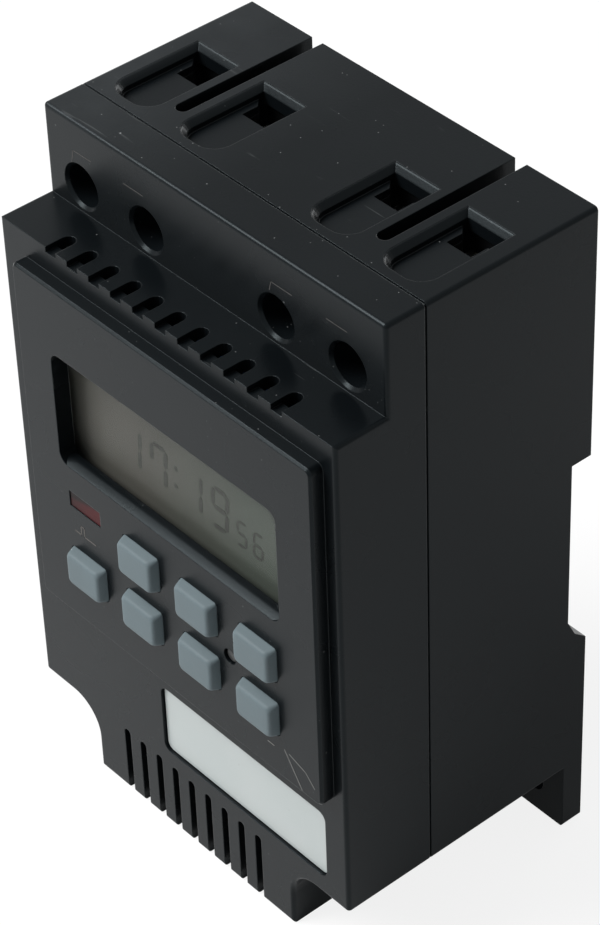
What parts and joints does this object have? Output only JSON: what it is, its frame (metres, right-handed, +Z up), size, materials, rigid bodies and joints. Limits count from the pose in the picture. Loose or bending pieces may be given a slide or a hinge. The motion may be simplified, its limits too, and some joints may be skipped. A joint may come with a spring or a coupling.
{
  "type": "digital timer switch",
  "caption": "Black rail or wall mounted digital time switch with a display window, rubber keys, a lamp and screw terminals along the top.",
  "frame": {"origin": "middle of the rail slot, on the plane that the rail's flanges rest against", "axes": "+X right seen from the front, +Y to the back, +Z up along the case's height"},
  "size_m": [0.077, 0.0553, 0.1232],
  "materials": {
    "case_black": "fine satin moulded plastic",
    "clip_black": "satin moulded plastic",
    "block_black": "satin moulded plastic",
    "clear_window": "clear hard plastic",
    "lcd_grey": "grey-green liquid crystal glass",
    "holder_white": "moulded plastic",
    "zebra_grey": "conductive rubber",
    "key_grey": "soft satin rubber",
    "lamp_red": "red tinted plastic, unlit",
    "label_white": "plain off-white sheet",
    "board_green": "circuit board with lacquer",
    "chip_black": "moulded chip body",
    "crystal_metal": "drawn metal can",
    "relay_blue": "moulded relay case",
    "film_red": "epoxy dipped film capacitor",
    "cable_grey": "flat cable sheath",
    "can_sleeve": "shrink sleeve over a metal can",
    "cell_metal": "pressed cell case",
    "steel": "zinc plated steel",
    "plated_steel": "zinc plated steel",
    "brass": "tinned brass"
  },
  "bodies": {
    "case": {"front_cover": "case_black", "rear_housing": "case_black", "display_window": "clear_window", "lcd_glass": "lcd_grey", "lcd_holder": "holder_white", "zebra_strips": "zebra_grey", "status_led": "lamp_red", "label_plate": "label_white", "keypad_mat": "key_grey", "control_board": "board_green", "controller_chip": "chip_black", "clock_crystal": "crystal_metal", "power_board": "board_green", "relay": "relay_blue", "dropper_capacitor": "film_red", "board_cable": "cable_grey", "board_screws": "steel", "case_screws": "steel", "terminal_block_left": "block_black", "terminal_block_right": "block_black", "backup_cell": "cell_metal", "smoothing_capacitor": "can_sleeve", "contact_bar_1": "brass", "contact_bar_2": "brass", "contact_bar_3": "brass", "contact_bar_4": "brass"},
    "key_lower_1": {"key_lower_1": "key_grey"},
    "key_lower_2": {"key_lower_2": "key_grey"},
    "key_lower_3": {"key_lower_3": "key_grey"},
    "key_lower_4": {"key_lower_4": "key_grey"},
    "key_upper_1": {"key_upper_1": "key_grey"},
    "key_upper_2": {"key_upper_2": "key_grey"},
    "key_upper_3": {"key_upper_3": "key_grey"},
    "reset_button": {"reset_button": "key_grey"},
    "terminal_screw_1": {"terminal_screw_1": "plated_steel"},
    "cage_clamp_1": {"cage_clamp_1": "plated_steel"},
    "terminal_screw_2": {"terminal_screw_2": "plated_steel"},
    "cage_clamp_2": {"cage_clamp_2": "plated_steel"},
    "terminal_screw_3": {"terminal_screw_3": "plated_steel"},
    "cage_clamp_3": {"cage_clamp_3": "plated_steel"},
    "terminal_screw_4": {"terminal_screw_4": "plated_steel"},
    "cage_clamp_4": {"cage_clamp_4": "plated_steel"},
    "rail_clip": {"rail_clip": "clip_black", "clip_spring": "steel"}
  },
  "joints": [
    {"name": "key_lower_1_press", "type": "slide", "parent": "case", "child": "key_lower_1", "axis": [0, 1, 0], "range_m": [0, 0.001], "stiffness_N_per_m": 800, "springref_m": -0.0005},
    {"name": "key_lower_2_press", "type": "slide", "parent": "case", "child": "key_lower_2", "axis": [0, 1, 0], "range_m": [0, 0.001], "stiffness_N_per_m": 800, "springref_m": -0.0005},
    {"name": "key_lower_3_press", "type": "slide", "parent": "case", "child": "key_lower_3", "axis": [0, 1, 0], "range_m": [0, 0.001], "stiffness_N_per_m": 800, "springref_m": -0.0005},
    {"name": "key_lower_4_press", "type": "slide", "parent": "case", "child": "key_lower_4", "axis": [0, 1, 0], "range_m": [0, 0.001], "stiffness_N_per_m": 800, "springref_m": -0.0005},
    {"name": "key_upper_1_press", "type": "slide", "parent": "case", "child": "key_upper_1", "axis": [0, 1, 0], "range_m": [0, 0.001], "stiffness_N_per_m": 800, "springref_m": -0.0005},
    {"name": "key_upper_2_press", "type": "slide", "parent": "case", "child": "key_upper_2", "axis": [0, 1, 0], "range_m": [0, 0.001], "stiffness_N_per_m": 800, "springref_m": -0.0005},
    {"name": "key_upper_3_press", "type": "slide", "parent": "case", "child": "key_upper_3", "axis": [0, 1, 0], "range_m": [0, 0.001], "stiffness_N_per_m": 800, "springref_m": -0.0005},
    {"name": "reset_button_press", "type": "slide", "parent": "case", "child": "reset_button", "axis": [0, 1, 0], "range_m": [0, 0.0006], "stiffness_N_per_m": 800, "springref_m": -0.0005},
    {"name": "terminal_screw_1_turn", "type": "hinge", "parent": "case", "child": "terminal_screw_1", "pos_m": [-0.0303, -0.0313, 0.052], "axis": [0, 1, 0], "range_deg": [0, 3189]},
    {"name": "cage_clamp_1_slide", "type": "slide", "parent": "case", "child": "cage_clamp_1", "axis": [0, -1, 0], "range_m": [0, 0.0062]},
    {"name": "terminal_screw_2_turn", "type": "hinge", "parent": "case", "child": "terminal_screw_2", "pos_m": [-0.0148, -0.0313, 0.052], "axis": [0, 1, 0], "range_deg": [0, 3189]},
    {"name": "cage_clamp_2_slide", "type": "slide", "parent": "case", "child": "cage_clamp_2", "axis": [0, -1, 0], "range_m": [0, 0.0062]},
    {"name": "terminal_screw_3_turn", "type": "hinge", "parent": "case", "child": "terminal_screw_3", "pos_m": [0.0148, -0.0313, 0.052], "axis": [0, 1, 0], "range_deg": [0, 3189]},
    {"name": "cage_clamp_3_slide", "type": "slide", "parent": "case", "child": "cage_clamp_3", "axis": [0, -1, 0], "range_m": [0, 0.0062]},
    {"name": "terminal_screw_4_turn", "type": "hinge", "parent": "case", "child": "terminal_screw_4", "pos_m": [0.0303, -0.0313, 0.052], "axis": [0, 1, 0], "range_deg": [0, 3189]},
    {"name": "cage_clamp_4_slide", "type": "slide", "parent": "case", "child": "cage_clamp_4", "axis": [0, -1, 0], "range_m": [0, 0.0062]},
    {"name": "rail_clip_slide", "type": "slide", "parent": "case", "child": "rail_clip", "axis": [0, 0, -1], "range_m": [0, 0.0045], "stiffness_N_per_m": 1500, "springref_m": -0.002, "deforming": ["clip_spring"]}
  ],
  "couplings": [
    {"joint": "terminal_screw_1_turn", "follows": "cage_clamp_1_slide", "rad_per_m": 8976},
    {"joint": "terminal_screw_2_turn", "follows": "cage_clamp_2_slide", "rad_per_m": 8976},
    {"joint": "terminal_screw_3_turn", "follows": "cage_clamp_3_slide", "rad_per_m": 8976},
    {"joint": "terminal_screw_4_turn", "follows": "cage_clamp_4_slide", "rad_per_m": 8976}
  ]
}
